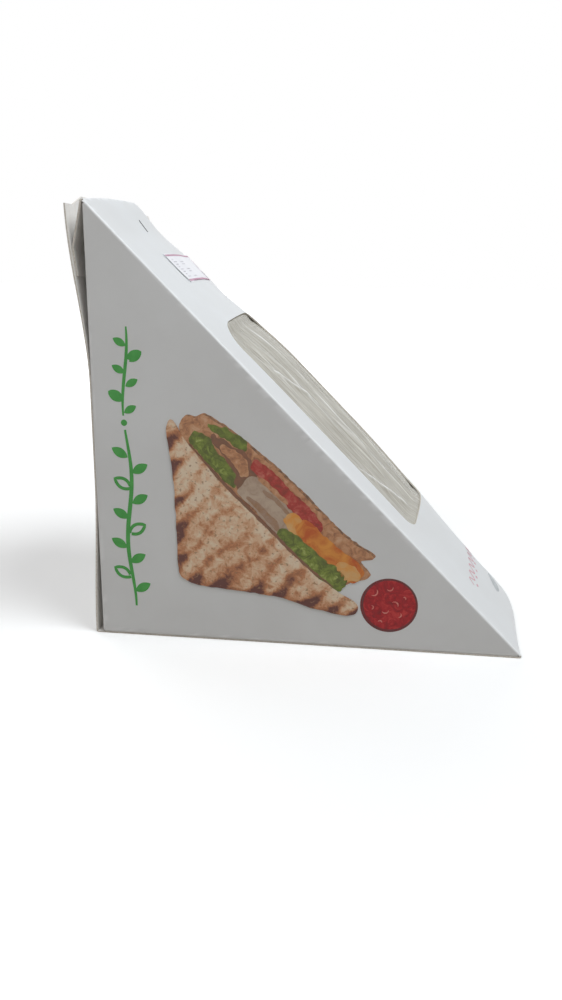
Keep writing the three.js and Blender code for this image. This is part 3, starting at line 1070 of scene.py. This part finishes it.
SAUCE_PLACE = (85.0, 14.0)
SAUCE_RADIUS = 8.2
SAUCE_RIM = (0.10, 0.035, 0.035)
SAUCE_DARK = (0.19, 0.010, 0.012)
SAUCE_RED = (0.40, 0.012, 0.018)
SAUCE_BRIGHT = (0.62, 0.06, 0.055)
SAUCE_SHINE = (0.74, 0.36, 0.31)


def sauce_print():
    x, z = SAUCE_PLACE
    art = Print("sauce_print", on_side)
    rim = printed("bowl_rim_ink", [(0.35, SAUCE_RIM), (0.7, SAUCE_DARK)], 350)
    sauce = [(0.34, SAUCE_DARK), (0.52, SAUCE_RED), (0.72, SAUCE_BRIGHT)]
    red = printed("sauce_ink", sauce, 330, 6, distortion=1.6)
    shine = printed("sauce_shine_ink", [(0.3, SAUCE_BRIGHT), (0.7, SAUCE_SHINE)], 600)
    art.shape(ellipse(x, z, SAUCE_RADIUS, SAUCE_RADIUS, steps=72), rim)
    art.shape(ellipse(x + 0.15, z + 0.1, SAUCE_RADIUS - 0.75, SAUCE_RADIUS - 0.7, steps=64), red, 2, 0.9)
    marks = [(-3.6, 3.2, 3.0, 0.9), (0.4, 4.6, 2.4, 0.4), (-4.4, -0.8, 1.6, 1.6), (2.2, 1.0, 2.6, 2.5),
             (-0.8, -2.4, 2.4, 0.2), (3.6, -3.0, 1.8, 1.2), (-2.2, -4.8, 1.5, 2.9), (4.6, 2.6, 1.3, 2.2)]
    for a, b, length, turn in marks:
        path = []
        for k in range(7):
            t = k / 6 - 0.5
            bend = turn + t * 1.3
            path.append((x + a + length * t * math.cos(bend), z + b + length * t * math.sin(bend)))
        art.shape(stroke(path, 0.42, 0.8), shine, 3)
    art.build()


sauce_print()


# Small ornament near the front tip

PINK_INK = (0.66, 0.27, 0.35)
PINK_INK_LIGHT = (0.74, 0.45, 0.50)
GREY_INK = (0.33, 0.36, 0.38)
GREY_INK_LIGHT = (0.55, 0.58, 0.60)
WAVE_U = 154.2
WAVE_RANGE = (17.0, 56.0)
DOTS_U = 156.6
OVAL_PLACE = (166.6, 43.0)
OVAL_SIZE = (2.1, 8.0)


def front_print():
    pink = printed("pink_ink", [(0.35, PINK_INK), (0.65, PINK_INK_LIGHT)], 500)
    grey = printed("grey_ink", [(0.35, GREY_INK), (0.65, GREY_INK_LIGHT)], 500)
    art = Print("front_print", on_front_face)
    vs = np.linspace(*WAVE_RANGE, 79)
    art.shape(stroke([(WAVE_U + 1.25 * math.sin(v * 1.25), v) for v in vs], 0.6, 0.3), pink, 2)
    for k in range(7):
        art.shape(ellipse(DOTS_U - 0.3 * (k % 2), 19.5 + 5.6 * k, 0.45, 0.7, steps=16), pink, 2)
    oval = []
    for k in range(24):
        t = 2 * math.pi * k / 24
        bulge = math.sin(t) * abs(math.sin(t)) ** 0.3
        oval.append((OVAL_PLACE[0] + OVAL_SIZE[0] * bulge, OVAL_PLACE[1] + OVAL_SIZE[1] * math.cos(t)))
    art.shape(oval[::-1], grey, 2)
    art.build()


front_print()


# Price label

LABEL_WHITE = (0.93, 0.93, 0.97)
LABEL_SHADE = (0.88, 0.88, 0.93)
LABEL_LINE = (0.42, 0.17, 0.29)
LABEL_LINE_LIGHT = (0.62, 0.36, 0.47)
LABEL_MARK = (0.42, 0.40, 0.46)
LABEL_LIFT = 0.45
LABEL_PAPER = 0.09
LINES_HEIGHT = 0.13
LINES_INSET = 0.6
RULE_INSET = 0.75
TEXT_START = 28.0
TEXT_SECOND = 35.0


def on_label(a, b, height):
    """A point over the label, whose upper far corner curls up a little."""
    curl = smoothstep(b, LABEL_FAR - 9.0, LABEL_FAR) * (1 - smoothstep(a, LABEL_START, LABEL_START + 7.0))
    near = 0.05 * (1 - smoothstep(b, LABEL_NEAR, LABEL_NEAR + 3.0))
    return on_front_face(a, b, 0.06 + height + LABEL_LIFT * float(curl) + float(near))


def label():
    m = Nodes("label_paper")
    m.colour(m.ramp(m.noise(140, 3), [(0.35, LABEL_SHADE), (0.65, LABEL_WHITE)]))
    m.set(roughness=0.36, specular_ior_level=0.5)
    m.bump(m.noise(300, 2), GRAIN_DEPTH, 0.3)
    paper = Print("label_sheet", on_label)
    end = LABEL_START + LABEL_LENGTH
    outline = rounded_rectangle(LABEL_START, end, LABEL_NEAR, LABEL_FAR, (0.5,) * 4, 4)
    paper.shape(outline, m.data, 0.0, ink=LABEL_PAPER)
    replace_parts(paper.build("label_paper"), "price_label")

    line = printed("label_line_ink", [(0.3, LABEL_LINE), (0.7, LABEL_LINE_LIGHT)], 260)
    mark = printed("label_mark_ink", [(0.3, LABEL_MARK), (0.7, LABEL_SHADE)], 700)
    art = Print("label_lines", on_label)
    above = LINES_HEIGHT / LAYER

    def rule(u, low, high, width, material, count):
        path = [(u, v) for v in np.linspace(low, high, count)]
        art.shape(stroke(path, width), material, above)

    def edge_line(v, width, material):
        path = [(u, v) for u in np.linspace(LABEL_START + 1.2, end - 1.2, 10)]
        art.shape(stroke(path, width), material, above)

    near = LABEL_NEAR + LINES_INSET
    far = LABEL_FAR - LINES_INSET
    rule(LABEL_START + RULE_INSET, near, far, 0.62, line, 24)
    rule(end - RULE_INSET, near, far, 0.72, line, 24)
    edge_line(LABEL_NEAR + 0.4, 0.32, mark)
    edge_line(LABEL_FAR - 0.5, 0.4, line)
    for k in range(8):
        u = LABEL_START + 2.4 + k * 0.98
        length = 1.5 + 0.8 * ((k * 5) % 3)
        rule(u, TEXT_START, TEXT_START + length, 0.34, mark, 3)
        if k % 3:
            rule(u, TEXT_SECOND, TEXT_SECOND + 0.8 + length, 0.3, mark, 3)
    art.build("label_paper")


label()


# Wrinkled film behind the window

FILM_THICKNESS = 0.05
FILM_DEPTH = 0.52
FILM_SAG = 0.35
FILM_FREE = 0.45
FILM_EDGE = 3.5
CREASE_RANGE = (-0.45, 0.75)
STEP_DOWN = 0.95
STEP_ACROSS = 0.36
SMALL_CREASES = 44
SEED = 11

# Creases as start u, start v, end u, end v, width and height
LONG_CREASES = [
    (48.0, 31.0, 82.0, 31.8, 0.75, 0.55), (76.0, 31.5, 108.0, 27.5, 0.7, 0.5),
    (62.0, 17.5, 86.0, 27.0, 0.6, 0.5), (101.0, 12.5, 129.0, 25.5, 0.6, 0.6),
    (58.0, 25.0, 98.0, 23.0, 0.6, 0.4), (82.0, 38.0, 114.0, 35.5, 0.6, 0.45),
]


def film_creases():
    """The long creases and small random ones, which run mostly down the window."""
    rng = np.random.default_rng(SEED)
    creases = list(LONG_CREASES)
    for _ in range(SMALL_CREASES):
        middle = rng.uniform(WINDOW_START + 4, WINDOW_START + WINDOW_LENGTH - 4)
        length = rng.uniform(18, 62)
        v = rng.uniform(9, 54)
        slope = rng.normal(0.0, 0.055)
        height = rng.uniform(0.10, 0.30) * rng.choice([1, 1, -0.8])
        creases.append((middle - length / 2, v - slope * length / 2, middle + length / 2,
                        v + slope * length / 2, rng.uniform(0.35, 0.85), height))
    return creases


def film():
    end = WINDOW_START + WINDOW_LENGTH
    far = WIDTH - WINDOW_MARGIN
    us = np.arange(WINDOW_START - FILM_OVERLAP, end + FILM_OVERLAP + 0.01, STEP_DOWN)
    vs = np.arange(WINDOW_MARGIN - FILM_OVERLAP, far + FILM_OVERLAP + 0.01, STEP_ACROSS)
    u, v = np.meshgrid(us, vs, indexing="ij")
    height = np.zeros_like(u)
    crest_highlight = np.zeros_like(u)
    for u0, v0, u1, v1, width, high in film_creases():
        t = (u - u0) / (u1 - u0)
        line = v0 + (v1 - v0) * t + 0.5 * np.sin(t * 3.1 + v0)
        fade = smoothstep(t, 0.0, 0.3) * (1 - smoothstep(t, 0.7, 1.0))
        bump = np.exp(-((v - line) / width) ** 2)
        height += high * fade * bump
        # Crests of the raised creases, where a highlight is painted on the film
        crest_highlight = np.maximum(crest_highlight, max(high, 0) / 0.5 * fade * np.exp(-((v - line) / (0.55 * width)) ** 2))
    height += 0.10 * np.sin(v * 0.9 + 0.7 * np.sin(u * 0.07)) + 0.06 * np.sin(v * 2.3 + u * 0.05)
    edge = np.minimum(np.minimum(u - WINDOW_START, end - u), np.minimum(v - WINDOW_MARGIN, far - v))
    free = smoothstep(edge, 0.2, FILM_EDGE)
    depth = FILM_DEPTH + free * (FILM_SAG + FILM_FREE - np.clip(height, *CREASE_RANGE))
    rows, columns = u.shape
    vertices = []
    for extra in (0.0, FILM_THICKNESS):
        vertices += [to_row(*front_point(*p)) for p in zip(u.flat, v.flat, (depth + extra).flat)]
    half = rows * columns
    faces = []
    for i in range(rows - 1):
        for j in range(columns - 1):
            a = i * columns + j
            faces.append((a, a + columns, a + columns + 1, a + 1))
            faces.append((half + a, half + a + 1, half + a + columns + 1, half + a + columns))
    at = np.arange(half).reshape(rows, columns)
    ring = np.concatenate([at[0], at[1:, -1], at[-1, -2::-1], at[-2:0:-1, 0]]).tolist()
    for k, a in enumerate(ring):
        b = ring[(k + 1) % len(ring)]
        faces.append((a, b, half + b, half + a))
    obj = new_piece("window_film_sheet", vertices, faces)
    turn_faces_out(obj)
    for name, values in (("crest_highlight", crest_highlight * free), ("down", u), ("across", v)):
        give_values(obj, name, np.tile(values.ravel(), 2))
    smooth_by_angle(obj, 60)
    obj.data.materials.append(film_material())
    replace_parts(obj, "window_film")
    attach(obj, "root")


FILM_TINT = (0.69, 0.65, 0.56)
FILM_TINT_LIGHT = (0.87, 0.84, 0.76)
# Painted highlight colour of the crease crests
FILM_CREST_HIGHLIGHT = (0.97, 0.97, 0.96)


def film_material():
    """Thin clear film, hazy and wrinkled, with a painted highlight along the crests of its creases."""
    m = Nodes("clear_film")
    place = m.node("CombineXYZ", X=m.math("MULTIPLY", m.attribute("down"), 0.035), Y=m.attribute("across"))
    lines = m.node("TexNoise", Scale=1.6, Detail=4.0, Roughness=0.65, Vector=place.outputs[0])
    streaks = lines.outputs["Fac"]
    base = m.ramp(streaks, [(0.36, FILM_TINT), (0.62, FILM_TINT_LIGHT)])
    # Painted highlight: paler and less clear along the crease crests
    crest_highlight = m.attribute("crest_highlight")
    m.colour(m.mix(crest_highlight, base, FILM_CREST_HIGHLIGHT))
    haze = m.map(streaks, 0.35, 0.7, 0.40, 0.60)
    m.set(alpha=m.math("ADD", haze, m.math("MULTIPLY", crest_highlight, 0.4)), roughness=0.2, specular_ior_level=0.5)
    m.bump(streaks, 0.0002, 0.3)
    return m.data


film()


# Camera at the photograph's place, solved from the five corners of the carton

CAMERA_PLACE = (80.52, -225.14, 107.46)
CAMERA_RIGHT = Vector((0.99254, 0.12153, 0.01014))
CAMERA_UP = Vector((-0.04246, 0.26647, 0.96291))
CAMERA_BACK = Vector((0.11432, -0.95615, 0.26964))
CAMERA_LENS = 30.2


def camera():
    data = bpy.data.cameras.new("camera")
    data.sensor_width = 36.0
    data.lens = CAMERA_LENS
    data.clip_start = 0.01
    obj = new_object("camera", data)
    turn = Matrix((CAMERA_RIGHT, CAMERA_UP, CAMERA_BACK)).transposed().to_4x4()
    obj.matrix_world = Matrix.Translation(to_row(*CAMERA_PLACE)) @ turn
    bpy.context.scene.camera = obj


camera()


# Floor, light and background

def pale_rays(m):
    """1 for the rays that show the background to the camera, straight or through film and shine."""
    path = m.node("LightPath").outputs
    rays = m.math("MAXIMUM", path["Is Camera Ray"], path["Is Glossy Ray"])
    return m.math("MAXIMUM", rays, path["Is Transmission Ray"])


FLOOR_PALE = (0.88, 0.88, 0.88)
FLOOR_BOUNCE = (0.32, 0.285, 0.24)
FLOOR_HALF = 4.0
GLOW_RANGE = (0.12, 0.7)
GLOW_NEAR = 0.22
WHITE = (1, 1, 1)
AMBIENT = 0.26


def floor():
    """Pale floor that keeps its shadow near the carton and fades to white away from it."""
    half = FLOOR_HALF
    corners = [(-half, -half, 0), (half, -half, 0), (half, half, 0), (-half, half, 0)]
    obj = new_piece("floor", corners, [(0, 1, 2, 3)])
    m = Nodes("floor_paper")
    seen = pale_rays(m)
    m.colour(m.mix(seen, FLOOR_BOUNCE, FLOOR_PALE))
    length = m.node("VectorMath")
    length.operation = "LENGTH"
    m.feed(length.inputs[0], m.place())
    glow = m.map(length.outputs["Value"], *GLOW_RANGE, GLOW_NEAR, 1.0)
    m.set(roughness=0.95, specular_ior_level=0.0, emission_color=WHITE)
    m.set(emission_strength=m.math("MULTIPLY", glow, seen))
    obj.data.materials.append(m.data)


floor()


def soft_light(name, place, target, size, power, colour):
    data = bpy.data.lights.new(name, "AREA")
    data.shape = "DISK"
    data.size = size
    data.energy = power
    data.color = colour
    obj = new_object(name, data)
    obj.location = place
    obj.rotation_mode = "QUATERNION"
    obj.rotation_quaternion = (Vector(target) - Vector(place)).to_track_quat("-Z", "Y")


# Name, place, aim, diameter, watts and colour
LAMPS = (
    ("key", (0.26, -0.14, 0.62), (0, 0, 0.06), 0.34, 2.75, (0.935, 0.975, 1.0)),
    ("fill", (-0.34, -0.62, 0.46), (-0.03, 0, 0.09), 0.5, 0.75, (1.0, 0.985, 0.965)),
    ("rear", (-0.55, 0.5, 0.5), (0, 0, 0.07), 0.6, 2.2, WHITE),
)
for lamp in LAMPS:
    soft_light(*lamp)


def world():
    """Soft white surroundings, shown as plain white behind the carton."""
    scene = bpy.context.scene
    scene.world = bpy.data.worlds.new("world")
    m = Nodes(scene.world)
    soft = m.tree.nodes["Background"]
    m.feed(soft.inputs["Color"], WHITE)
    m.feed(soft.inputs["Strength"], AMBIENT)
    mix = m.node("MixShader", Fac=pale_rays(m))
    m.feed(mix.inputs[1], soft.outputs[0])
    m.feed(mix.inputs[2], m.node("Background", Color=WHITE, Strength=1.0).outputs[0])
    m.feed(m.tree.nodes["World Output"].inputs["Surface"], mix.outputs[0])


world()

bpy.context.scene.view_settings.view_transform = "Standard"
